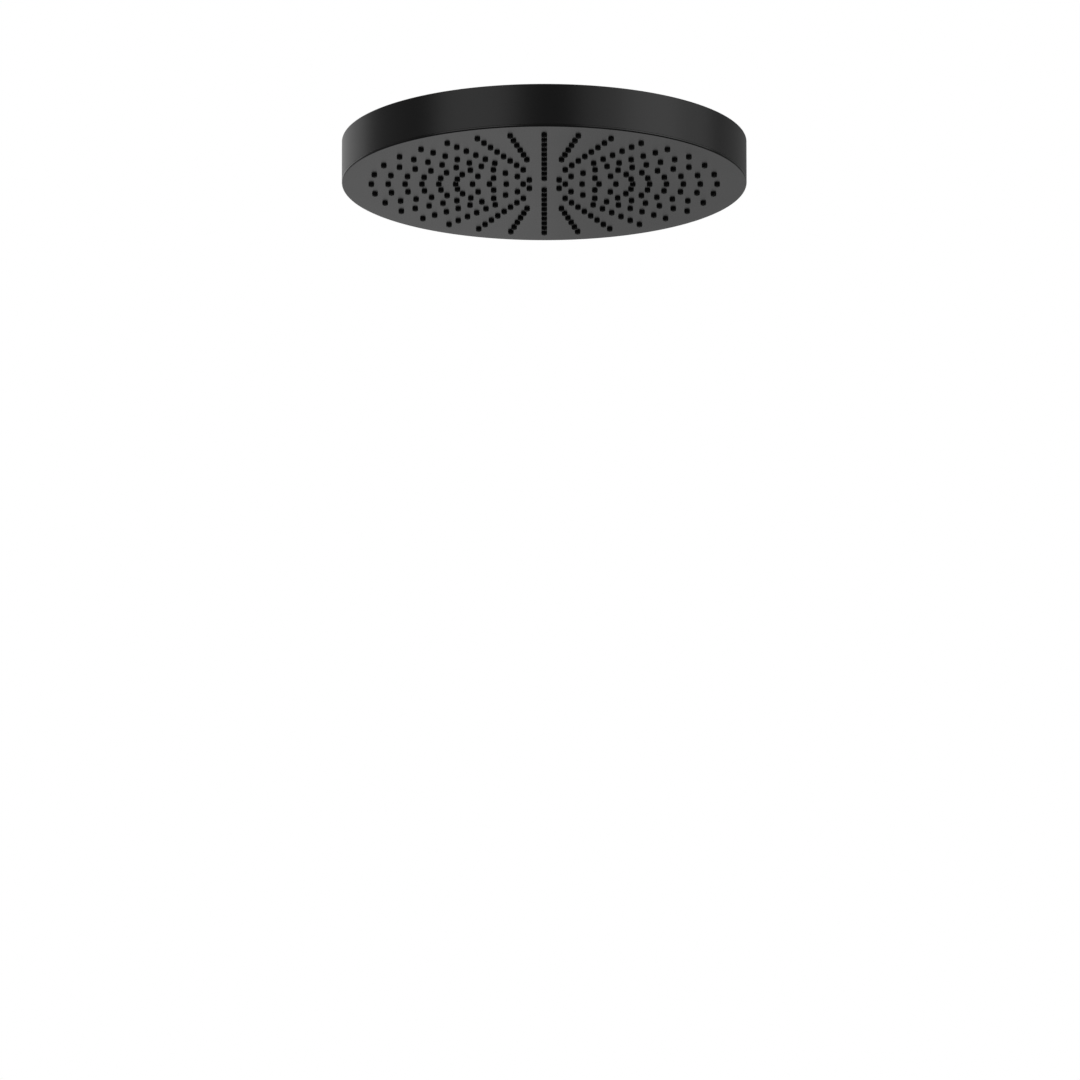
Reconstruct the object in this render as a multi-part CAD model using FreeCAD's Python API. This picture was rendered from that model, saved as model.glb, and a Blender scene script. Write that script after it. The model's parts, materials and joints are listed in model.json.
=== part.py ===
import FreeCAD, Part
import math
import os

# Ball-jointed overhead rain shower head, 300 mm across. Millimetres.
# The origin is the centre of the inlet thread's mouth and +Z is up, so the head hangs below it.

# Driving dimensions
HEAD_R = 150.0
HEAD_HEIGHT = 32.5
HEAD_TOP = -38.0
WALL = 2.0
TOP_EDGE_R = 0.3
FACE_EDGE_R = 1.0

# Ball joint
BALL_Z = -33.0
BALL_R = 12.5
SEAT_GAP = 0.3
SEAT_INNER_R = BALL_R + SEAT_GAP
SEAT_OUTER_R = SEAT_INNER_R + 1.6
SOCKET_R = SEAT_OUTER_R + SEAT_GAP
SEAT_NEAR = 3.4
UPPER_SEAT_FAR = 8.8
LOWER_SEAT_FAR = 10.6

# Ball connector: hexagon with a female G1/2 thread, whose wall is modelled at its minor diameter
HEX_ACROSS_FLATS = 27.0
HEX_HEIGHT = 16.0
HEX_BEVEL = 1.2
THREAD_R = 9.3155
THREAD_LENGTH = 9.0
RELIEF_R = 9.7
GASKET_THICK = 2.0
GASKET_OUTER_R = 9.5
GASKET_INNER_R = 6.4
FILTER_SEAT_R = 7.5
FILTER_R = 7.4
FILTER_THICK = 1.0
FILTER_HOLE_R = 0.5
FILTER_PITCH = 1.7
REGULATOR_SEAT_R = 6.6
REGULATOR_R = 6.5
REGULATOR_THICK = 2.6
REGULATOR_PORTS = 8
REGULATOR_PORT_R = 0.8
REGULATOR_PORT_CIRCLE = 3.4
NECK_R = 7.0
WATER_R = 4.5

# Socket body and what clamps it
SOCKET_THREAD_R = 17.0
SOCKET_ABOVE_BALL = 5.0
FLANGE_R = 26.0
FLANGE_THICK = 3.0
SHANK_R = 14.0
SOCKET_WATER_R = 6.2
CAP_R = 20.5
CAP_TOP = 12.0
CAP_SHOULDER = 8.0
CAP_TOP_R = 15.5
CAP_OPENING_R = 11.0
CAP_GRIPS = 12
CAP_GRIP_R = 2.5
CAP_GRIP_DEPTH = 0.8
WASHER_THICK = 1.0
WASHER_R = 25.0
LOCK_RING_THICK = 3.5
LOCK_RING_R = 22.5
LOCK_RING_SLOTS = 6
LOCK_RING_SLOT_R = 2.0
CASING_HOLE_R = 17.2

# Water chamber, from the face upwards
FACE_THICK = 1.8
MAT_THICK = 1.6
JET_PLATE_THICK = 3.0
CHAMBER_DEPTH = 7.0
COVER_THICK = 3.0
CHAMBER_R = 131.0
STACK_R = 144.0
HUB_R = 23.0
HUB_HEIGHT = 5.0

# Nozzles: rays at equal angles, all on the same evenly spaced circles
RAYS = 32
NOZZLE_CIRCLES = 10
FIRST_CIRCLE_R = 15.6
CIRCLE_STEP = 12.5
NOZZLE_R = 2.1
NOZZLE_STANDS_OUT = 2.1
NOZZLE_TIP_ROUND = 0.9
NOZZLE_INLET_R = 1.1
NOZZLE_OUTLET_R = 0.6
FACE_HOLE_R = 2.25
JET_HOLE_R = 1.5

# Fasteners
STUDS = 12
STUD_CIRCLE_R = 139.0
STUD_R = 2.0
STUD_HOLE_R = 2.2
STUD_WASHER_R = 4.5
STUD_WASHER_THICK = 0.8
NUT_ACROSS_FLATS = 7.0
NUT_HEIGHT = 3.2
STUD_PAST_NUT = 1.0
TIE_SCREWS = 8
TIE_CIRCLE_R = 50.0
TIE_BOSS_R = 4.0
TIE_SCREW_R = 1.5
TIE_HEAD_R = 3.0
TIE_HEAD_HEIGHT = 1.5
TIE_LENGTH = 7.0
DIFFUSER_R = 34.0
DIFFUSER_THICK = 1.2
DIFFUSER_GAP = 2.5
DIFFUSER_SCREWS = 3
DIFFUSER_SCREW_CIRCLE = 18.5
DIFFUSER_SCREW_R = 1.25
DIFFUSER_HEAD_R = 2.5
DIFFUSER_HEAD_HEIGHT = 1.2
DIFFUSER_SCREW_GRIP = 6.0
SPACER_R = 3.0

# Seals
RIM_REBATE = 1.0
RIM_LIP = 0.8
RIM_GASKET_CLEAR = 0.1
SPIGOT_OUTER_R = 147.7
SPIGOT_THICK = 1.5
SPIGOT_HEIGHT = 3.2
CHAMBER_RING_R = 133.4
CHAMBER_RING_SECTION_R = 0.93
SHANK_RING_SECTION_R = 0.85
REGULATOR_RING_SECTION_R = 0.6
GROOVE_CLEAR = 0.05

# Levels that follow from the driving dimensions
HEAD_FACE = HEAD_TOP - HEAD_HEIGHT
FACE_BACK = HEAD_FACE + FACE_THICK
MAT_TOP = FACE_BACK + MAT_THICK
JET_TOP = MAT_TOP + JET_PLATE_THICK
COVER_BOTTOM = JET_TOP + CHAMBER_DEPTH
COVER_TOP = COVER_BOTTOM + COVER_THICK
FLANGE_TOP = HEAD_TOP - WALL
FLANGE_BOTTOM = FLANGE_TOP - FLANGE_THICK
FILTER_TOP = -THREAD_LENGTH - GASKET_THICK
REGULATOR_TOP = FILTER_TOP - FILTER_THICK
REGULATOR_BOTTOM = REGULATOR_TOP - REGULATOR_THICK


def vector(x, y, z):
    return FreeCAD.Vector(x, y, z)


def turned(points, round_corners=None):
    """Turns (radius, z) points about Z. round_corners maps a corner's index to its radius."""
    rounds = round_corners or {}
    corners = [vector(r, 0, z) for r, z in points]
    starts = []
    ends = []
    edges = []
    for i, corner in enumerate(corners):
        before = corners[i - 1] - corner
        after = corners[(i + 1) % len(corners)] - corner
        radius = rounds.get(i, 0.0)
        turn = before.getAngle(after)
        trim = radius / math.tan(turn / 2)
        into = corner + before.normalize() * trim
        out_of = corner + after.normalize() * trim
        starts.append(into)
        ends.append(out_of)
        if radius:
            bisector = (before + after).normalize()
            middle = corner + bisector * (radius / math.sin(turn / 2) - radius)
            edges.append(Part.Arc(into, middle, out_of).toShape())
    for i, out_of in enumerate(ends):
        into = starts[(i + 1) % len(starts)]
        edges.append(Part.LineSegment(out_of, into).toShape())
    wire = Part.Wire(Part.__sortEdges__(edges))
    return Part.Face(wire).revolve(vector(0, 0, 0), vector(0, 0, 1), 360)


def rod(radius, low, high, x=0.0, y=0.0):
    return Part.makeCylinder(radius, high - low, vector(x, y, low))


def tube(outer, inner, low, high):
    return rod(outer, low, high).cut(rod(inner, low, high))


def ring(radius, section_radius, z):
    return Part.makeTorus(radius, section_radius, vector(0, 0, z))


def hexagon(across_flats, low, high, x=0.0, y=0.0):
    corner_r = across_flats / math.sqrt(3)
    corners = []
    for i in range(7):
        angle = math.radians(60 * i)
        corners.append(vector(x + corner_r * math.cos(angle), y + corner_r * math.sin(angle), low))
    return Part.Face(Part.makePolygon(corners)).extrude(vector(0, 0, high - low))


def on_circle(count, radius, first_deg=0.0):
    """Points evenly spaced on a circle about Z."""
    places = []
    for i in range(count):
        angle = math.radians(first_deg + 360 * i / count)
        places.append((radius * math.cos(angle), radius * math.sin(angle)))
    return places


def nozzle_places():
    """Every fourth ray starts at circle 0, those halfway between at circle 2, the others at circle 4."""
    first_circle = {0: 0, 1: 4, 2: 2, 3: 4}
    places = []
    for ray in range(RAYS):
        angle = math.radians(360 * ray / RAYS)
        for circle in range(first_circle[ray % 4], NOZZLE_CIRCLES):
            r = FIRST_CIRCLE_R + CIRCLE_STEP * circle
            places.append((r * math.cos(angle), r * math.sin(angle)))
    return places


def stud_places():
    return on_circle(STUDS, STUD_CIRCLE_R, 180 / STUDS)


def tie_places():
    return on_circle(TIE_SCREWS, TIE_CIRCLE_R, 360 / RAYS)


def diffuser_places():
    return on_circle(DIFFUSER_SCREWS, DIFFUSER_SCREW_CIRCLE, 90)


def plate(radius, low, high, holes):
    """Round plate with holes, given as (list of places, hole radius) pairs."""
    wires = [Part.Wire(Part.makeCircle(radius, vector(0, 0, low)))]
    for places, hole_r in holes:
        for x, y in places:
            wires.append(Part.Wire(Part.makeCircle(hole_r, vector(x, y, low))))
    return Part.makeFace(wires, "Part::FaceMakerCheese").extrude(vector(0, 0, high - low))


def rods(places, radius, low, high):
    return Part.makeCompound([rod(radius, low, high, x, y) for x, y in places])


# Inlet: everything that stays fixed to the water pipe


def make_ball_connector():
    corner_r = HEX_ACROSS_FLATS / math.sqrt(3)
    envelope = turned([
        (0, 0),
        (corner_r - HEX_BEVEL, 0),
        (corner_r, -HEX_BEVEL / 2),
        (corner_r, HEX_BEVEL / 2 - HEX_HEIGHT),
        (corner_r - HEX_BEVEL, -HEX_HEIGHT),
        (0, -HEX_HEIGHT),
    ])
    body = hexagon(HEX_ACROSS_FLATS, -HEX_HEIGHT, 0).common(envelope)
    body = body.fuse(rod(NECK_R, BALL_Z, -HEX_HEIGHT))
    body = body.fuse(Part.makeSphere(BALL_R, vector(0, 0, BALL_Z)))
    bores = turned([
        (0, 0),
        (THREAD_R, 0),
        (THREAD_R, -THREAD_LENGTH),
        (RELIEF_R, -THREAD_LENGTH),
        (RELIEF_R, FILTER_TOP),
        (FILTER_SEAT_R, FILTER_TOP),
        (FILTER_SEAT_R, REGULATOR_TOP),
        (REGULATOR_SEAT_R, REGULATOR_TOP),
        (REGULATOR_SEAT_R, REGULATOR_BOTTOM),
        (WATER_R, REGULATOR_BOTTOM),
        (WATER_R, BALL_Z - BALL_R),
        (0, BALL_Z - BALL_R),
    ])
    return body.cut(bores)


def make_inlet_gasket():
    return tube(GASKET_OUTER_R, GASKET_INNER_R, FILTER_TOP, FILTER_TOP + GASKET_THICK)


def make_inlet_filter():
    places = []
    for row in range(-3, 4):
        for column in range(-3, 4):
            x = FILTER_PITCH * (column + row / 2)
            y = FILTER_PITCH * row * math.sqrt(3) / 2
            if math.hypot(x, y) < GASKET_INNER_R - FILTER_HOLE_R:
                places.append((x, y))
    return plate(FILTER_R, REGULATOR_TOP, FILTER_TOP, [(places, FILTER_HOLE_R)])


def regulator_groove():
    """Radius of the groove's floor, and the z of its middle."""
    floor_r = REGULATOR_SEAT_R - 2 * (REGULATOR_RING_SECTION_R + GROOVE_CLEAR)
    return floor_r, (REGULATOR_TOP + REGULATOR_BOTTOM) / 2


def make_flow_regulator():
    floor_r, middle = regulator_groove()
    half = REGULATOR_RING_SECTION_R + GROOVE_CLEAR
    ports = on_circle(REGULATOR_PORTS, REGULATOR_PORT_CIRCLE)
    body = plate(REGULATOR_R, REGULATOR_BOTTOM, REGULATOR_TOP, [(ports, REGULATOR_PORT_R)])
    return body.cut(tube(REGULATOR_SEAT_R, floor_r, middle - half, middle + half))


def make_regulator_o_ring():
    floor_r, middle = regulator_groove()
    return ring((floor_r + REGULATOR_SEAT_R) / 2, REGULATOR_RING_SECTION_R, middle)


# Ball seats: rings between two spheres about the ball's centre


def ball_seat(low, high):
    centre = vector(0, 0, BALL_Z)
    shell = Part.makeSphere(SEAT_OUTER_R, centre).cut(Part.makeSphere(SEAT_INNER_R, centre))
    return shell.common(rod(SOCKET_R, BALL_Z + low, BALL_Z + high))


def make_lower_ball_seat():
    return ball_seat(-LOWER_SEAT_FAR, -SEAT_NEAR)


def make_upper_ball_seat():
    return ball_seat(SEAT_NEAR, UPPER_SEAT_FAR)


# Socket and its clamp


def shank_groove():
    """Radius of the groove's floor, and the z of its middle, halfway up the hub."""
    floor_r = SHANK_R - 2 * (SHANK_RING_SECTION_R + GROOVE_CLEAR)
    return floor_r, COVER_TOP + HUB_HEIGHT / 2


def make_socket_body():
    top = BALL_Z + SOCKET_ABOVE_BALL
    body = turned([
        (0, top),
        (SOCKET_THREAD_R, top),
        (SOCKET_THREAD_R, FLANGE_TOP),
        (FLANGE_R, FLANGE_TOP),
        (FLANGE_R, FLANGE_BOTTOM),
        (SHANK_R, FLANGE_BOTTOM),
        (SHANK_R, COVER_BOTTOM),
        (0, COVER_BOTTOM),
    ])
    cup = Part.makeSphere(SOCKET_R, vector(0, 0, BALL_Z)).fuse(rod(SOCKET_R, BALL_Z, top))
    body = body.cut(cup).cut(rod(SOCKET_WATER_R, COVER_BOTTOM, BALL_Z))
    floor_r, middle = shank_groove()
    half = SHANK_RING_SECTION_R + GROOVE_CLEAR
    return body.cut(tube(SHANK_R, floor_r, middle - half, middle + half))


def make_socket_o_ring():
    floor_r, middle = shank_groove()
    return ring((floor_r + SHANK_R) / 2, SHANK_RING_SECTION_R, middle)


def make_cap_nut():
    body = turned([
        (CAP_OPENING_R, BALL_Z),
        (CAP_R, BALL_Z),
        (CAP_R, BALL_Z + CAP_SHOULDER),
        (CAP_TOP_R, BALL_Z + CAP_TOP),
        (CAP_OPENING_R, BALL_Z + CAP_TOP),
    ])
    body = body.cut(rod(SOCKET_THREAD_R, BALL_Z, BALL_Z + SOCKET_ABOVE_BALL))
    body = body.cut(Part.makeSphere(SOCKET_R, vector(0, 0, BALL_Z)))
    grips = on_circle(CAP_GRIPS, CAP_R + CAP_GRIP_R - CAP_GRIP_DEPTH)
    return body.cut(rods(grips, CAP_GRIP_R, BALL_Z, BALL_Z + CAP_TOP))


def make_lock_washer():
    return tube(WASHER_R, CASING_HOLE_R, HEAD_TOP, HEAD_TOP + WASHER_THICK)


def make_lock_ring():
    low = HEAD_TOP + WASHER_THICK
    body = tube(LOCK_RING_R, SOCKET_THREAD_R, low, low + LOCK_RING_THICK)
    slots = on_circle(LOCK_RING_SLOTS, LOCK_RING_R)
    return body.cut(rods(slots, LOCK_RING_SLOT_R, low, low + LOCK_RING_THICK))


# Casing


def make_casing():
    return turned([
        (CASING_HOLE_R, HEAD_TOP),
        (HEAD_R, HEAD_TOP),
        (HEAD_R, FACE_BACK),
        (HEAD_R - RIM_LIP, FACE_BACK),
        (HEAD_R - RIM_LIP, FACE_BACK + RIM_REBATE),
        (HEAD_R - WALL, FACE_BACK + RIM_REBATE),
        (HEAD_R - WALL, HEAD_TOP - WALL),
        (CASING_HOLE_R, HEAD_TOP - WALL),
    ], {1: TOP_EDGE_R})


def make_rim_gasket():
    outer = HEAD_R - RIM_LIP - RIM_GASKET_CLEAR
    return tube(outer, HEAD_R - WALL, FACE_BACK, FACE_BACK + RIM_REBATE)


# Water chamber


def make_chamber_cover():
    body = turned([
        (SHANK_R, COVER_TOP + HUB_HEIGHT),
        (HUB_R, COVER_TOP + HUB_HEIGHT),
        (HUB_R, COVER_TOP),
        (STACK_R, COVER_TOP),
        (STACK_R, JET_TOP),
        (CHAMBER_R, JET_TOP),
        (CHAMBER_R, COVER_BOTTOM),
        (SHANK_R, COVER_BOTTOM),
    ])
    body = body.fuse(rods(tie_places(), TIE_BOSS_R, JET_TOP, COVER_BOTTOM).Solids)
    half = CHAMBER_RING_SECTION_R + GROOVE_CLEAR
    groove = tube(CHAMBER_RING_R + half, CHAMBER_RING_R - half, JET_TOP, JET_TOP + 2 * half)
    body = body.cut(groove)
    body = body.cut(rods(stud_places(), STUD_HOLE_R, JET_TOP, COVER_TOP))
    tie_top = MAT_TOP + TIE_HEAD_HEIGHT + TIE_LENGTH
    body = body.cut(rods(tie_places(), TIE_SCREW_R, JET_TOP, tie_top))
    screw_top = COVER_BOTTOM + DIFFUSER_SCREW_GRIP
    return body.cut(rods(diffuser_places(), DIFFUSER_SCREW_R, COVER_BOTTOM, screw_top))


def make_chamber_o_ring():
    return ring(CHAMBER_RING_R, CHAMBER_RING_SECTION_R, JET_TOP + CHAMBER_RING_SECTION_R + GROOVE_CLEAR)


def make_diffuser_spacers():
    low = COVER_BOTTOM - DIFFUSER_GAP
    outer = rods(diffuser_places(), SPACER_R, low, COVER_BOTTOM)
    return outer.cut(rods(diffuser_places(), DIFFUSER_SCREW_R, low, COVER_BOTTOM))


def make_diffuser_plate():
    high = COVER_BOTTOM - DIFFUSER_GAP
    return plate(DIFFUSER_R, high - DIFFUSER_THICK, high, [(diffuser_places(), DIFFUSER_SCREW_R)])


def make_diffuser_screws():
    under = COVER_BOTTOM - DIFFUSER_GAP - DIFFUSER_THICK
    screws = []
    for x, y in diffuser_places():
        head = rod(DIFFUSER_HEAD_R, under - DIFFUSER_HEAD_HEIGHT, under, x, y)
        screws.append(head.fuse(rod(DIFFUSER_SCREW_R, under, COVER_BOTTOM + DIFFUSER_SCREW_GRIP, x, y)))
    return Part.makeCompound(screws)


def make_jet_plate():
    holes = [(nozzle_places(), JET_HOLE_R), (stud_places(), STUD_HOLE_R), (tie_places(), TIE_SCREW_R)]
    body = plate(STACK_R, MAT_TOP, JET_TOP, holes)
    return body.cut(rods(tie_places(), TIE_HEAD_R, MAT_TOP, MAT_TOP + TIE_HEAD_HEIGHT))


def make_tie_screws():
    under = MAT_TOP + TIE_HEAD_HEIGHT
    screws = []
    for x, y in tie_places():
        head = rod(TIE_HEAD_R, MAT_TOP, under, x, y)
        screws.append(head.fuse(rod(TIE_SCREW_R, under, under + TIE_LENGTH, x, y)))
    return Part.makeCompound(screws)


# Face


def make_nozzle_mat():
    """Sheet with its orifices, and one hollow nozzle with a rounded tip under each of them."""
    tip = HEAD_FACE - NOZZLE_STANDS_OUT
    holes = [(nozzle_places(), NOZZLE_INLET_R), (stud_places(), STUD_HOLE_R)]
    sheet = plate(STACK_R, FACE_BACK, MAT_TOP, holes)
    nozzle = turned([
        (NOZZLE_INLET_R, FACE_BACK),
        (NOZZLE_R, FACE_BACK),
        (NOZZLE_R, tip),
        (NOZZLE_OUTLET_R, tip),
    ], {2: NOZZLE_TIP_ROUND})
    nozzles = [nozzle.translated(vector(x, y, 0)) for x, y in nozzle_places()]
    return sheet.multiFuse(nozzles)


def make_face_plate():
    spigot = tube(SPIGOT_OUTER_R, SPIGOT_OUTER_R - SPIGOT_THICK, FACE_BACK, FACE_BACK + SPIGOT_HEIGHT)
    body = plate(HEAD_R, HEAD_FACE, FACE_BACK, [(nozzle_places(), FACE_HOLE_R)])
    rim = []
    for edge in body.Edges:
        on_face = abs(edge.BoundBox.ZMax - HEAD_FACE) < 1e-6
        if on_face and edge.BoundBox.XLength > 2 * STACK_R:
            rim.append(edge)
    return body.makeFillet(FACE_EDGE_R, rim).fuse(spigot)


def stud_nut_top():
    return COVER_TOP + STUD_WASHER_THICK + NUT_HEIGHT


def make_face_studs():
    return rods(stud_places(), STUD_R, FACE_BACK, stud_nut_top() + STUD_PAST_NUT)


def make_stud_washers():
    high = COVER_TOP + STUD_WASHER_THICK
    outer = rods(stud_places(), STUD_WASHER_R, COVER_TOP, high)
    return outer.cut(rods(stud_places(), STUD_HOLE_R, COVER_TOP, high))


def make_stud_nuts():
    low = COVER_TOP + STUD_WASHER_THICK
    high = stud_nut_top()
    nuts = []
    for x, y in stud_places():
        blank = hexagon(NUT_ACROSS_FLATS, low, high, x, y)
        nuts.append(blank.cut(rod(STUD_R, low, high, x, y)))
    return Part.makeCompound(nuts)


NODES = {
    "ball_connector": make_ball_connector,
    "inlet_gasket": make_inlet_gasket,
    "inlet_filter": make_inlet_filter,
    "flow_regulator": make_flow_regulator,
    "regulator_o_ring": make_regulator_o_ring,
    "lower_ball_seat": make_lower_ball_seat,
    "upper_ball_seat": make_upper_ball_seat,
    "socket_body": make_socket_body,
    "socket_o_ring": make_socket_o_ring,
    "cap_nut": make_cap_nut,
    "lock_washer": make_lock_washer,
    "lock_ring": make_lock_ring,
    "casing": make_casing,
    "rim_gasket": make_rim_gasket,
    "chamber_cover": make_chamber_cover,
    "chamber_o_ring": make_chamber_o_ring,
    "diffuser_spacers": make_diffuser_spacers,
    "diffuser_plate": make_diffuser_plate,
    "diffuser_screws": make_diffuser_screws,
    "jet_plate": make_jet_plate,
    "tie_screws": make_tie_screws,
    "nozzle_mat": make_nozzle_mat,
    "face_plate": make_face_plate,
    "face_studs": make_face_studs,
    "stud_washers": make_stud_washers,
    "stud_nuts": make_stud_nuts,
}

os.makedirs("parts", exist_ok=True)
for node, make in NODES.items():
    shape = make()
    print(f"{node}: {len(shape.Solids)} solids, {shape.Volume:.0f} mm3, valid {shape.isValid()}")
    shape.exportStep(f"parts/{node}.step")
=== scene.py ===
import json
import math

import bmesh
import bpy
from mathutils import Matrix, Vector
from mathutils.geometry import delaunay_2d_cdt


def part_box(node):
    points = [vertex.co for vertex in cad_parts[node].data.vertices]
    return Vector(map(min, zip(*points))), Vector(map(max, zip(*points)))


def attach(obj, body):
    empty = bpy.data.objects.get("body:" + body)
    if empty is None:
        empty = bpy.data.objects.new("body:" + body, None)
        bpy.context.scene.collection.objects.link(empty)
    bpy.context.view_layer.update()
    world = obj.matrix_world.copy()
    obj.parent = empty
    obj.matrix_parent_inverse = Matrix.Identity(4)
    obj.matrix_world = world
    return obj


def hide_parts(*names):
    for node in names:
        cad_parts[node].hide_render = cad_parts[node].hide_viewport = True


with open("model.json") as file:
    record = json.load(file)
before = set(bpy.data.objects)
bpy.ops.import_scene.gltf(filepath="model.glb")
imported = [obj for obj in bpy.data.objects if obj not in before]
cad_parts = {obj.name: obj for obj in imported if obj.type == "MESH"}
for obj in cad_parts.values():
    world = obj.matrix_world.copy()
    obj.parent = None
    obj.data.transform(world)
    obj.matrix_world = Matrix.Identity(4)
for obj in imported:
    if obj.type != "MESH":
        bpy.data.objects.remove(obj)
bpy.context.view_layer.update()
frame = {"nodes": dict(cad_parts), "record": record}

# Lengths are in millimetres in the row frame, and meshes are scaled to metres as they are made.
MM = 0.001


def low(node):
    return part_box(node)[0] / MM


def high(node):
    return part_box(node)[1] / MM


# Places and sizes read from the CAD frame
HEAD_R = high("casing").x
HEAD_TOP = high("casing").z
FACE = low("face_plate").z
FACE_BACK = low("casing").z
MAT_TOP = high("nozzle_mat").z
TIP = low("nozzle_mat").z
STACK_R = high("nozzle_mat").x
BALL_Z = low("cap_nut").z
CAP_R = high("cap_nut").x
CAP_TOP = high("cap_nut").z
WASHER_R = high("lock_washer").x
WASHER_TOP = high("lock_washer").z
LOCK_RING_TOP = high("lock_ring").z

# Shell and face
WALL = 2.0
TOP_EDGE_R = 0.3
FACE_EDGE_R = 1.0
CASING_HOLE_R = 17.2
RIM_LIP = 0.8
RIM_REBATE = 1.0
SPIGOT_OUTER_R = 147.7
SPIGOT_INNER_R = 146.2
ROUND_STEPS = 256

# Edges that turn by more than this stay crisp
SHARP_EDGE_DEG = 25

# Closer than this, two lengths are the same
SAME = 1e-6

# Nozzles
RAYS = 32
CIRCLES = 10
FIRST_CIRCLE_R = 15.6
CIRCLE_STEP = 12.5
NOZZLE_STEPS = 24
NOZZLE_R = 2.1
NOZZLE_TIP_ROUND = 0.9
FACE_HOLE_R = 2.25
FACE_HOLE_EDGE = 0.15
ORIFICE_R = 0.6
ORIFICE_EDGE = 0.2
ORIFICE_INLET_R = 1.1
ORIFICE_INLET_DEPTH = 0.4

# Ball connector
BALL_R = 12.5
BALL_STEPS = 24
HEX_BOTTOM = -16.0
HEX_FLAT_R = 13.5
HEX_CORNER_ROUND = 0.5
HEX_BEVEL = 1.2
THREAD_MINOR_R = 9.3155
THREAD_MAJOR_R = 10.4
THREAD_PITCH = 1.814
THREAD_LENGTH = 9.0
THREAD_RUN_OUT = 0.8
THREAD_ROWS_PER_TURN = 10
RELIEF_R = 9.7
RELIEF_BOTTOM = -11.0
FILTER_SEAT_R = 7.5
FILTER_SEAT_BOTTOM = -12.0
REGULATOR_SEAT_R = 6.6
REGULATOR_SEAT_BOTTOM = -14.6
NECK_R = 7.0
NECK_FILLET = 0.8
WATER_R = 4.5

# Cap nut, its heights measured up from the ball's centre
SOCKET_THREAD_R = 17.0
SOCKET_ABOVE_BALL = 5.0
SOCKET_R = 14.7
SOCKET_STEPS = 10
CAP_OPENING_R = 11.0
CAP_TOP_R = 15.5
CAP_SHOULDER = 8.0
CAP_GRIPS = 12
CAP_GRIP_R = 2.5
CAP_GRIP_DEPTH = 0.8

# Lock ring
LOCK_RING_R = 22.5
LOCK_RING_SLOTS = 6
LOCK_RING_SLOT_R = 2.0

# Steps round a nut or a washer
NUT_STEPS = 360
WASHER_STEPS = 128

# Camera, worked out from the photograph: a long lens that looks up at the head, aimed below it so that
# the head sits high in the frame
VIEW_BELOW_DEG = 16.385
VIEW_DISTANCE = 75.54 * HEAD_R
SENSOR_MM = 36.0
LENS_MM = 509.63
AIM_BELOW_FACE_DEG = 1.3333
AIM_LEFT_OF_FACE_DEG = 0.0165

# Light: azimuth and elevation as seen from the head (0 is the camera's side, + is the camera's right),
# width and height in degrees, distance in metres, radiance.
# The fill, and the azimuth, width and radiance of the first six boxes, are the rounded result of a
# least-squares fit to the photograph's brightness. The other four boxes were set by trial.
WORLD_FILL = 0.08
SOFTBOXES = {
    "left_front": (-39, 18, 45, 44, 3.0, 0.80),
    "right_front": (64, 18, 84, 44, 3.0, 0.60),
    "right_front_inner": (63, 18, 34, 44, 3.0, 0.54),
    "left_side": (-104, 18, 48, 44, 3.0, 0.10),
    "left_rear": (-144, 18, 48, 44, 3.0, 0.56),
    "right_rear": (154, 18, 72, 44, 3.0, 0.13),
    "rear": (180, 18, 22, 40, 3.0, 0.32),
    "under_rear": (180, -24, 50, 44, 3.0, 0.29),
    "under_rear_left": (-165, -17, 30, 30, 1.2, 0.085),
    "overhead_rear": (180, 60, 70, 50, 3.0, 0.90),
}
FLOOR_Z = -8.0
FLOOR_HALF = 12.0
FLOOR_LIGHT_Z = -4.5
FLOOR_LIGHT_RADIANCE = 0.9


# Mesh tools


def finish_piece(bm, name, body, slot, material, *nodes):
    """Turns a bmesh in millimetres into a piece in metres that rides on a body and stands for CAD nodes."""
    bmesh.ops.recalc_face_normals(bm, faces=bm.faces)
    mesh = bpy.data.meshes.new(name)
    bm.to_mesh(mesh)
    bm.free()
    mesh.transform(Matrix.Scale(MM, 4))
    mesh.shade_smooth()
    mesh.set_sharp_from_angle(angle=math.radians(SHARP_EDGE_DEG))
    piece = bpy.data.objects.new(name, mesh)
    bpy.context.scene.collection.objects.link(piece)
    piece.data.materials.append(material)
    weighted = piece.modifiers.new("flat_faces_shade_flat", "WEIGHTED_NORMAL")
    weighted.keep_sharp = True
    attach(piece, body)
    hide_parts(*nodes)
    return piece


def bridge(bm, first, second):
    """Quads between two closed loops with the same number of vertices."""
    count = len(first)
    for i in range(count):
        j = (i + 1) % count
        bm.faces.new((first[i], first[j], second[j], second[i]))


def rounded(points, steps=5):
    """Outline of (r, z) or (r, z, fillet) corners, each fillet turned into an arc of that radius."""
    outline = []
    for i, point in enumerate(points):
        corner = Vector(point[:2])
        radius = point[2] if len(point) > 2 else 0.0
        if not radius:
            outline.append(corner)
            continue
        back = (Vector(points[i - 1][:2]) - corner).normalized()
        on = (Vector(points[(i + 1) % len(points)][:2]) - corner).normalized()
        half = back.angle(on) / 2
        centre = corner + (back + on).normalized() * (radius / math.sin(half))
        start = corner + back * (radius / math.tan(half)) - centre
        end = corner + on * (radius / math.tan(half)) - centre
        sweep = start.angle_signed(end)
        for step in range(steps + 1):
            outline.append(centre + Matrix.Rotation(-sweep * step / steps, 2) @ start)
    return outline


def even_angles(count):
    return [2 * math.pi * i / count for i in range(count)]


def lathe(outline, angles, shape=None, x=0.0, y=0.0, bm=None):
    """Closed outline of (r, z) points turned about Z. shape(r, z, angle) may move a point in its plane."""
    bm = bm or bmesh.new()
    loops = []
    for r, z in outline:
        loop = []
        for angle in angles:
            r_here, z_here = shape(r, z, angle) if shape else (r, z)
            place = (x + r_here * math.cos(angle), y + r_here * math.sin(angle), z_here)
            loop.append(bm.verts.new(place))
        loops.append(loop)
    for i, loop in enumerate(loops):
        bridge(bm, loops[i - 1], loop)
    return bm


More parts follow.
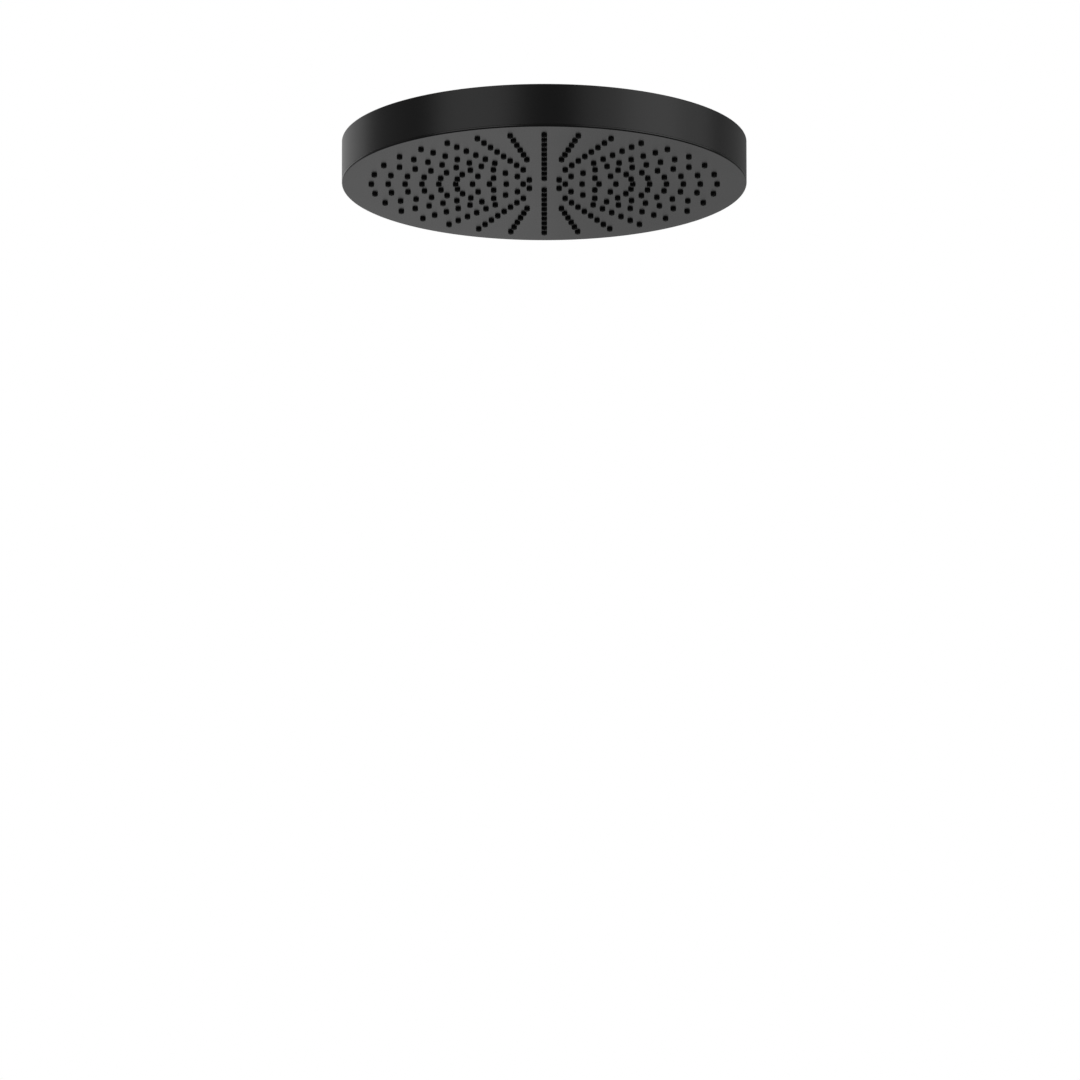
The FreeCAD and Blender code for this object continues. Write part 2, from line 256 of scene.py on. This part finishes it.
def circle(bm, radius, z, steps, x=0.0, y=0.0):
    return [
        bm.verts.new((x + radius * math.cos(angle), y + radius * math.sin(angle), z))
        for angle in even_angles(steps)
    ]


def fill_between(bm, rim, holes):
    """Flat triangles between a round rim and round holes inside it."""
    loops = [rim, *holes]
    verts = [v for loop in loops for v in loop]
    numbers = []
    first = 0
    for loop in loops:
        numbers.append(list(range(first, first + len(loop))))
        first += len(loop)
    edges = [(n[i - 1], n[i]) for n in numbers for i in range(len(n))]
    flat = [v.co.xy for v in verts]
    _, _, triangles, _, _, _ = delaunay_2d_cdt(flat, edges, [], 0, 1e-4)
    owner = {}
    for which, n in enumerate(numbers):
        for i in n:
            owner[i] = which
    for triangle in triangles:
        owners = {owner[i] for i in triangle}
        inside_a_hole = len(owners) == 1 and owners != {0}
        if not inside_a_hole:
            bm.faces.new([verts[i] for i in triangle])


def nozzle_places():
    """Every fourth ray starts at the first circle, the ones midway at the third, the rest at the fifth."""
    first_circle = [0, 4, 2, 4]
    places = []
    for ray in range(RAYS):
        angle = 2 * math.pi * ray / RAYS
        for step in range(first_circle[ray % len(first_circle)], CIRCLES):
            r = FIRST_CIRCLE_R + CIRCLE_STEP * step
            places.append((r * math.cos(angle), r * math.sin(angle)))
    return places


# Materials


class Nodes:
    """Short way to build one material's node tree around a Principled shader."""

    def __init__(self, name, **sockets):
        self.material = bpy.data.materials.new(name)
        self.material.use_nodes = True
        self.tree = self.material.node_tree
        self.shader = self.tree.nodes["Principled BSDF"]
        for socket, value in sockets.items():
            self.shader.inputs[socket.replace("_", " ")].default_value = value

    def add(self, kind, **settings):
        node = self.tree.nodes.new("ShaderNode" + kind)
        for key, value in settings.items():
            if hasattr(node, key):
                setattr(node, key, value)
            else:
                node.inputs[key.replace("_", " ")].default_value = value
        return node

    def link(self, source, target):
        self.tree.links.new(source, target)

    def place(self):
        return self.add("TexCoord").outputs["Object"]

    def noise(self, place, per_mm, detail=3.0, roughness=0.5):
        node = self.add("TexNoise", Scale=per_mm / MM, Detail=detail, Roughness=roughness)
        self.link(place, node.inputs["Vector"])
        return node.outputs["Fac"]

    def ranged(self, source, low_value, high_value, start=0.3, end=0.7):
        node = self.add("MapRange", From_Min=start, From_Max=end, To_Min=low_value, To_Max=high_value)
        self.link(source, node.inputs["Value"])
        return node.outputs["Result"]

    def colours(self, source, dark, light, start=0.3, end=0.7):
        node = self.add("ValToRGB")
        for stop, position, colour in zip(node.color_ramp.elements, (start, end), (dark, light)):
            stop.position = position
            stop.color = (*colour, 1.0)
        self.link(source, node.inputs["Fac"])
        self.link(node.outputs["Color"], self.shader.inputs["Base Color"])

    def roughness(self, source, smooth, rough):
        self.link(self.ranged(source, smooth, rough), self.shader.inputs["Roughness"])

    def bump(self, source, depth_mm, strength=1.0):
        node = self.add("Bump", Strength=strength, Distance=depth_mm * MM)
        self.link(source, node.inputs["Height"])
        previous = self.shader.inputs["Normal"]
        if previous.is_linked:
            self.link(previous.links[0].from_socket, node.inputs["Normal"])
        self.link(node.outputs["Normal"], previous)


def coated_black(name, dark, light, smooth, rough, grain_depth):
    """Black powder coat: a fine orange-peel grain, slow roughness drift and a very slight colour drift."""
    nodes = Nodes(name, Specular_IOR_Level=0.5)
    place = nodes.place()
    drift = nodes.noise(place, 0.02)
    grain = nodes.noise(place, 2.2, detail=4.0)
    peel = nodes.noise(place, 0.7, detail=1.0)
    nodes.colours(drift, dark, light)
    nodes.roughness(drift, smooth, rough)
    nodes.bump(peel, grain_depth * 2)
    nodes.bump(grain, grain_depth)
    return nodes.material


def rubber(name, dark, light, smooth, rough):
    """Moulded rubber: matt, with a faint bloom and a fine moulded grain."""
    nodes = Nodes(name, Specular_IOR_Level=0.5)
    place = nodes.place()
    bloom = nodes.noise(place, 0.25)
    grain = nodes.noise(place, 5.0, detail=2.0)
    nodes.colours(bloom, dark, light)
    nodes.roughness(bloom, smooth, rough)
    nodes.bump(grain, 0.01)
    return nodes.material


def moulded_plastic(name, dark, light):
    """Injection-moulded plastic: satin, with a spark-eroded grain."""
    nodes = Nodes(name)
    place = nodes.place()
    drift = nodes.noise(place, 0.05)
    grain = nodes.noise(place, 3.0, detail=5.0)
    nodes.colours(drift, dark, light)
    nodes.roughness(grain, 0.42, 0.6)
    nodes.bump(grain, 0.02)
    return nodes.material


def turned_metal(name, dark, light, smooth, rough):
    """Metal turned on a lathe about the head's own axis: fine rings in height, colour and gloss."""
    nodes = Nodes(name, Metallic=1.0)
    place = nodes.place()
    parts = nodes.add("SeparateXYZ")
    nodes.link(place, parts.inputs["Vector"])
    flat = nodes.add("CombineXYZ")
    nodes.link(parts.outputs["X"], flat.inputs["X"])
    nodes.link(parts.outputs["Y"], flat.inputs["Y"])
    radius = nodes.add("VectorMath", operation="LENGTH")
    nodes.link(flat.outputs["Vector"], radius.inputs[0])
    along = nodes.add("CombineXYZ")
    nodes.link(radius.outputs["Value"], along.inputs["X"])
    nodes.link(parts.outputs["Z"], along.inputs["Y"])
    rings = nodes.noise(along.outputs["Vector"], 4.0, detail=6.0, roughness=0.7)
    nodes.colours(rings, dark, light)
    nodes.roughness(rings, smooth, rough)
    nodes.bump(rings, 0.01)
    return nodes.material


MATT_BLACK = coated_black(
    "matt_black_coat", (0.008, 0.008, 0.0082), (0.0095, 0.0095, 0.0097), 0.32, 0.34, grain_depth=0.0012
)
SATIN_BLACK = coated_black(
    "satin_black_coat", (0.010, 0.010, 0.0102), (0.012, 0.012, 0.0122), 0.20, 0.23, grain_depth=0.0008
)
BLACK_SILICONE = rubber("black_silicone", (0.0016, 0.0016, 0.0016), (0.0026, 0.0026, 0.0026), 0.46, 0.58)
SEAL_RUBBER = rubber("seal_rubber", (0.012, 0.012, 0.012), (0.02, 0.02, 0.02), 0.6, 0.75)
BRASS = turned_metal("turned_brass", (0.56, 0.36, 0.13), (0.74, 0.52, 0.22), 0.22, 0.36)
STAINLESS = turned_metal("stainless_steel", (0.42, 0.42, 0.41), (0.58, 0.58, 0.57), 0.24, 0.4)
CHAMBER_PLASTIC = moulded_plastic("dark_grey_plastic", (0.03, 0.03, 0.032), (0.045, 0.045, 0.047))
SEAT_PLASTIC = moulded_plastic("white_plastic", (0.6, 0.6, 0.57), (0.72, 0.72, 0.69))

BY_SLOT = {
    "matt_black": MATT_BLACK,
    "satin_black": SATIN_BLACK,
    "black_silicone": BLACK_SILICONE,
    "seal_rubber": SEAL_RUBBER,
    "brass": BRASS,
    "stainless_steel": STAINLESS,
    "chamber_plastic": CHAMBER_PLASTIC,
    "seat_plastic": SEAT_PLASTIC,
}


def dress_cad_nodes():
    """Every CAD node that stays gets its slot's procedural material."""
    for part in frame["record"]["subparts"]:
        node = frame["nodes"][part["node"]]
        node.data.materials.clear()
        node.data.materials.append(BY_SLOT[part["material_slot"]])


# Pieces of the head


def make_casing():
    inner_r = HEAD_R - WALL
    outline = rounded([
        (CASING_HOLE_R, HEAD_TOP, 0.3),
        (HEAD_R, HEAD_TOP, TOP_EDGE_R),
        (HEAD_R, FACE_BACK, 0.15),
        (HEAD_R - RIM_LIP, FACE_BACK),
        (HEAD_R - RIM_LIP, FACE_BACK + RIM_REBATE),
        (inner_r, FACE_BACK + RIM_REBATE),
        (inner_r, HEAD_TOP - WALL, 1.0),
        (CASING_HOLE_R, HEAD_TOP - WALL),
    ])
    bm = lathe(outline, even_angles(ROUND_STEPS))
    return finish_piece(bm, "black_casing", "head", "matt_black", MATT_BLACK, "casing")


def make_face_plate():
    """One plate: the perforated face, the rounded rim, the back with its spigot, the holes' soft edges."""
    bm = bmesh.new()
    places = nozzle_places()
    edge_steps = 3
    face_holes = []
    back_holes = []
    for x, y in places:
        loops = []
        for step in range(edge_steps + 1):
            turn = math.pi / 2 * step / edge_steps
            r = FACE_HOLE_R + FACE_HOLE_EDGE * (1 - math.sin(turn))
            z = FACE + FACE_HOLE_EDGE * (1 - math.cos(turn))
            loops.append(circle(bm, r, z, NOZZLE_STEPS, x, y))
        loops.append(circle(bm, FACE_HOLE_R, FACE_BACK, NOZZLE_STEPS, x, y))
        for first, second in zip(loops, loops[1:]):
            bridge(bm, first, second)
        face_holes.append(loops[0])
        back_holes.append(loops[-1])
    spigot_top = high("face_plate").z
    rim = rounded([
        (HEAD_R, FACE, FACE_EDGE_R),
        (HEAD_R, FACE_BACK, 0.15),
        (SPIGOT_OUTER_R, FACE_BACK),
        (SPIGOT_OUTER_R, spigot_top, 0.3),
        (SPIGOT_INNER_R, spigot_top, 0.3),
        (SPIGOT_INNER_R, FACE_BACK),
        (HEAD_R - 2 * FACE_EDGE_R, FACE),
    ])[:-1]
    loops = [circle(bm, r, z, ROUND_STEPS) for r, z in rim]
    for first, second in zip(loops, loops[1:]):
        bridge(bm, first, second)
    fill_between(bm, loops[0], face_holes)
    fill_between(bm, loops[-1], back_holes)
    return finish_piece(bm, "perforated_face", "head", "satin_black", SATIN_BLACK, "face_plate")


def nozzle_outline():
    """From the mat down the outside, round the tip, and up the orifice to the mat's top."""
    return rounded([
        (NOZZLE_R, FACE_BACK),
        (NOZZLE_R, TIP, NOZZLE_TIP_ROUND),
        (ORIFICE_R, TIP, ORIFICE_EDGE),
        (ORIFICE_R, FACE),
        (ORIFICE_INLET_R, FACE_BACK - ORIFICE_INLET_DEPTH),
        (ORIFICE_INLET_R, MAT_TOP),
    ], steps=4)


def make_nozzle_mat():
    bm = bmesh.new()
    under = []
    above = []
    for x, y in nozzle_places():
        loops = [circle(bm, r, z, NOZZLE_STEPS, x, y) for r, z in nozzle_outline()]
        for first, second in zip(loops, loops[1:]):
            bridge(bm, first, second)
        under.append(loops[0])
        above.append(loops[-1])
    low_rim = circle(bm, STACK_R, FACE_BACK, ROUND_STEPS)
    high_rim = circle(bm, STACK_R, MAT_TOP, ROUND_STEPS)
    bridge(bm, low_rim, high_rim)
    fill_between(bm, low_rim, under)
    fill_between(bm, high_rim, above)
    return finish_piece(bm, "rubber_nozzles", "head", "black_silicone", BLACK_SILICONE, "nozzle_mat")


# Pieces above the drum


def hex_radius(angle):
    """Outline of the hexagon with softly rounded corners, corners at 0, 60 ... degrees."""
    off_corner = (angle + math.pi / 6) % (math.pi / 3) - math.pi / 6
    flat = HEX_FLAT_R / math.cos(math.pi / 6 - abs(off_corner))
    centre_r = (HEX_FLAT_R - HEX_CORNER_ROUND) / math.cos(math.pi / 6)
    reach = HEX_CORNER_ROUND ** 2 - (centre_r * math.sin(off_corner)) ** 2
    if reach <= 0:
        return flat
    return min(flat, centre_r * math.cos(off_corner) + math.sqrt(reach))


def hex_angles():
    """Close together at the six corners and every three degrees between them."""
    near = [0, 0.3, 0.6, 0.9, 1.2, 1.6]
    offsets = sorted({-a for a in near} | set(near) | set(range(3, 58, 3)))
    return [math.radians(60 * k + a) for k in range(6) for a in offsets]


def make_ball_connector():
    corner_r = HEX_FLAT_R / math.cos(math.pi / 6)
    rim_r = corner_r - HEX_BEVEL
    slope = 0.5
    mouth = 0.05
    # half widths of the thread's groove, as parts of a turn
    groove_floor = 0.17
    groove_mouth = 0.37

    def hexagonal(r, z, angle):
        """The four rows with a radius past the flats are the hexagon's; each takes its bevel's height."""
        if r < HEX_FLAT_R or z < HEX_BOTTOM:
            return r, z
        hexagon = hex_radius(angle)
        drop = max(mouth, (hexagon - rim_r) * slope + mouth)
        if r < corner_r - SAME:
            return min(rim_r, hexagon - mouth), z
        return hexagon, (-drop if z > HEX_BOTTOM / 2 else HEX_BOTTOM + drop)

    def threaded(r, z, angle):
        """Female thread: a groove wound at the thread's pitch, running out at both ends."""
        r, z = hexagonal(r, z, angle)
        if abs(r - THREAD_MINOR_R) > SAME or not -THREAD_LENGTH < z < 0:
            return r, z
        turn = (z / THREAD_PITCH + angle / (2 * math.pi)) % 1.0
        off_middle = abs(turn - 0.5)
        groove = min(1.0, max(0.0, (groove_mouth - off_middle) / (groove_mouth - groove_floor)))
        fade = max(0.0, min(1.0, -z / THREAD_RUN_OUT, (z + THREAD_LENGTH) / THREAD_RUN_OUT))
        return r + (THREAD_MAJOR_R - THREAD_MINOR_R) * groove * fade, z

    start = math.acos(NECK_R / BALL_R)
    end = -math.acos(WATER_R / BALL_R)
    ball = []
    for i in range(BALL_STEPS + 1):
        turn = start + (end - start) * i / BALL_STEPS
        ball.append((BALL_R * math.cos(turn), BALL_Z + BALL_R * math.sin(turn)))
    rows = int(THREAD_LENGTH / THREAD_PITCH * THREAD_ROWS_PER_TURN)
    thread = [(THREAD_MINOR_R, -THREAD_LENGTH * (1 - i / rows)) for i in range(rows + 1)]
    just_under_hex = HEX_BOTTOM - 0.001
    neck = rounded([
        (NECK_R + 2, just_under_hex),
        (NECK_R, HEX_BOTTOM, NECK_FILLET),
        (NECK_R, BALL_Z),
    ])[:-1]
    outline = [
        *thread,
        (rim_r, 0.0),
        (corner_r, -HEX_BEVEL / 2),
        (corner_r, HEX_BOTTOM + HEX_BEVEL / 2),
        (rim_r, HEX_BOTTOM),
        *neck,
        *ball,
        (WATER_R, BALL_Z - BALL_R * 0.8),
        (WATER_R, REGULATOR_SEAT_BOTTOM),
        (REGULATOR_SEAT_R, REGULATOR_SEAT_BOTTOM),
        (REGULATOR_SEAT_R, FILTER_SEAT_BOTTOM),
        (FILTER_SEAT_R, FILTER_SEAT_BOTTOM),
        (FILTER_SEAT_R, RELIEF_BOTTOM),
        (RELIEF_R, RELIEF_BOTTOM),
        (RELIEF_R, -THREAD_LENGTH),
    ]
    bm = lathe(outline, hex_angles(), threaded)
    return finish_piece(bm, "ball_and_hexagon", "inlet", "matt_black", MATT_BLACK, "ball_connector")


def round_cut(angle, count, cut_r, centre_r):
    """Radius at which this angle meets the nearest of count round cuts centred on a circle, or None."""
    pitch = 2 * math.pi / count
    off = (angle + pitch / 2) % pitch - pitch / 2
    reach = cut_r ** 2 - (centre_r * math.sin(off)) ** 2
    if reach <= 0:
        return None
    return centre_r * math.cos(off) - math.sqrt(reach)


def make_cap_nut():
    """Union nut with a fluted grip, bevelled top and the spherical seat inside."""
    grip_centre_r = CAP_R + CAP_GRIP_R - CAP_GRIP_DEPTH
    fluted_band = 1.5
    lean = 0.6

    def fluted(r, z, angle):
        """Flutes cut only the outermost band, and lean inwards where the bevel does."""
        cut = round_cut(angle, CAP_GRIPS, CAP_GRIP_R, grip_centre_r)
        if r < CAP_R - fluted_band or cut is None:
            return r, z
        return min(r, cut - (CAP_R - r) * lean), z

    seat = []
    start = math.asin(SOCKET_ABOVE_BALL / SOCKET_R)
    end = math.acos(CAP_OPENING_R / SOCKET_R)
    for i in range(SOCKET_STEPS + 1):
        turn = start + (end - start) * i / SOCKET_STEPS
        seat.append((SOCKET_R * math.cos(turn), BALL_Z + SOCKET_R * math.sin(turn)))
    seat_top = seat[-1][1]
    outline = [
        *rounded([
            (SOCKET_THREAD_R, BALL_Z, 0.3),
            (SOCKET_THREAD_R, BALL_Z + SOCKET_ABOVE_BALL),
            (seat[0][0], BALL_Z + SOCKET_ABOVE_BALL),
        ])[:-1],
        *seat,
        *rounded([
            (CAP_OPENING_R, seat_top),
            (CAP_OPENING_R, CAP_TOP, 0.4),
            (CAP_TOP_R, CAP_TOP, 0.6),
            (CAP_R, BALL_Z + CAP_SHOULDER, 1.2),
            (CAP_R, BALL_Z, 0.5),
            (SOCKET_THREAD_R, BALL_Z),
        ])[1:-1],
    ]
    bm = lathe(outline, even_angles(NUT_STEPS), fluted)
    return finish_piece(bm, "fluted_cap_nut", "head", "matt_black", MATT_BLACK, "cap_nut")


def make_lock_ring():
    """Round nut with slots for a hook spanner."""
    slotted_band = 0.7

    def slotted(r, z, angle):
        cut = round_cut(angle, LOCK_RING_SLOTS, LOCK_RING_SLOT_R, LOCK_RING_R)
        if r < LOCK_RING_R - slotted_band or cut is None:
            return r, z
        return min(r, cut - (LOCK_RING_R - r)), z

    outline = rounded([
        (SOCKET_THREAD_R, WASHER_TOP),
        (SOCKET_THREAD_R, LOCK_RING_TOP, 0.4),
        (LOCK_RING_R, LOCK_RING_TOP, 0.5),
        (LOCK_RING_R, WASHER_TOP, 0.3),
    ])
    bm = lathe(outline, even_angles(NUT_STEPS), slotted)
    return finish_piece(bm, "slotted_lock_ring", "head", "matt_black", MATT_BLACK, "lock_ring")


def make_lock_washer():
    outline = rounded([
        (CASING_HOLE_R, HEAD_TOP),
        (CASING_HOLE_R, WASHER_TOP, 0.25),
        (WASHER_R, WASHER_TOP, 0.35),
        (WASHER_R, HEAD_TOP, 0.1),
    ])
    bm = lathe(outline, even_angles(WASHER_STEPS))
    return finish_piece(bm, "flat_washer", "head", "stainless_steel", STAINLESS, "lock_washer")


# Camera, light and floor


def direction(azimuth_deg, elevation_deg):
    """Unit vector; azimuth 0 points back to the camera's side, and positive turns to the camera's right."""
    a = math.radians(azimuth_deg)
    e = math.radians(elevation_deg)
    return Vector((math.sin(a) * math.cos(e), -math.cos(a) * math.cos(e), math.sin(e)))


def make_camera():
    data = bpy.data.cameras.new("camera")
    data.sensor_width = SENSOR_MM
    data.lens = LENS_MM
    data.clip_start = 0.1
    data.clip_end = 200.0
    camera = bpy.data.objects.new("camera", data)
    bpy.context.scene.collection.objects.link(camera)
    face_centre = Vector((0, 0, FACE)) * MM
    camera.location = face_centre + direction(0, -VIEW_BELOW_DEG) * VIEW_DISTANCE * MM
    pitch = math.radians(VIEW_BELOW_DEG - AIM_BELOW_FACE_DEG)
    yaw = math.radians(AIM_LEFT_OF_FACE_DEG)
    camera.rotation_euler = (math.pi / 2 + pitch, 0, yaw)
    bpy.context.scene.camera = camera


def make_world():
    """Soft light from all round for the object, plain white behind it for the camera."""
    world = bpy.data.worlds.new("studio")
    bpy.context.scene.world = world
    world.use_nodes = True
    tree = world.node_tree
    tree.nodes.clear()

    def add(kind, **values):
        node = tree.nodes.new("ShaderNode" + kind)
        for key, value in values.items():
            if hasattr(node, key):
                setattr(node, key, value)
            else:
                node.inputs[key].default_value = value
        return node

    fill = add("Background", Color=(1, 1, 1, 1), Strength=WORLD_FILL)
    white = add("Background", Color=(1, 1, 1, 1), Strength=1.0)
    ray = add("LightPath")
    mix = add("MixShader")
    out = add("OutputWorld")
    tree.links.new(ray.outputs["Is Camera Ray"], mix.inputs["Fac"])
    tree.links.new(fill.outputs["Background"], mix.inputs[1])
    tree.links.new(white.outputs["Background"], mix.inputs[2])
    tree.links.new(mix.outputs["Shader"], out.inputs["Surface"])


def add_area_light(name, place, facing_away_from, width, height, radiance):
    """One-sided rectangle of light that the camera doesn't see."""
    data = bpy.data.lights.new(name, "AREA")
    data.shape = "RECTANGLE"
    data.size = width
    data.size_y = height
    data.energy = radiance * width * height * math.pi
    light = bpy.data.objects.new(name, data)
    bpy.context.scene.collection.objects.link(light)
    light.location = place
    light.rotation_euler = facing_away_from.to_track_quat("Z", "Y").to_euler()
    light.visible_camera = False


def make_softboxes():
    """Lights that face the head, each sized by the angle it fills as seen from there."""
    centre = Vector((0, 0, FACE)) * MM
    for name, (azimuth, elevation, wide_deg, tall_deg, distance, radiance) in SOFTBOXES.items():
        towards = direction(azimuth, elevation)
        width = 2 * distance * math.tan(math.radians(wide_deg / 2))
        height = 2 * distance * math.tan(math.radians(tall_deg / 2))
        add_area_light(name, centre + towards * distance, towards, width, height, radiance)


def make_floor():
    """Pale floor far below the head, with a light of its own; it neither lights the head nor shows in it."""
    bm = bmesh.new()
    bmesh.ops.create_grid(bm, x_segments=8, y_segments=8, size=FLOOR_HALF)
    mesh = bpy.data.meshes.new("floor")
    bm.to_mesh(mesh)
    bm.free()
    floor = bpy.data.objects.new("floor", mesh)
    floor.location = (0, 0, FLOOR_Z)
    bpy.context.scene.collection.objects.link(floor)
    nodes = Nodes("pale_floor", Roughness=0.9, Specular_IOR_Level=0.1)
    drift = nodes.noise(nodes.place(), 0.0004)
    nodes.colours(drift, (0.86, 0.86, 0.86), (0.9, 0.9, 0.9))
    mesh.materials.append(nodes.material)
    floor.visible_glossy = False
    floor.visible_diffuse = False
    up = Vector((0, 0, 1))
    size = 2 * FLOOR_HALF
    add_area_light("floor_light", up * FLOOR_LIGHT_Z, up, size, size, FLOOR_LIGHT_RADIANCE)


dress_cad_nodes()
make_casing()
make_face_plate()
make_nozzle_mat()
make_ball_connector()
make_cap_nut()
make_lock_ring()
make_lock_washer()
make_camera()
make_world()
make_softboxes()
make_floor()

bpy.context.scene.view_settings.view_transform = "Standard"
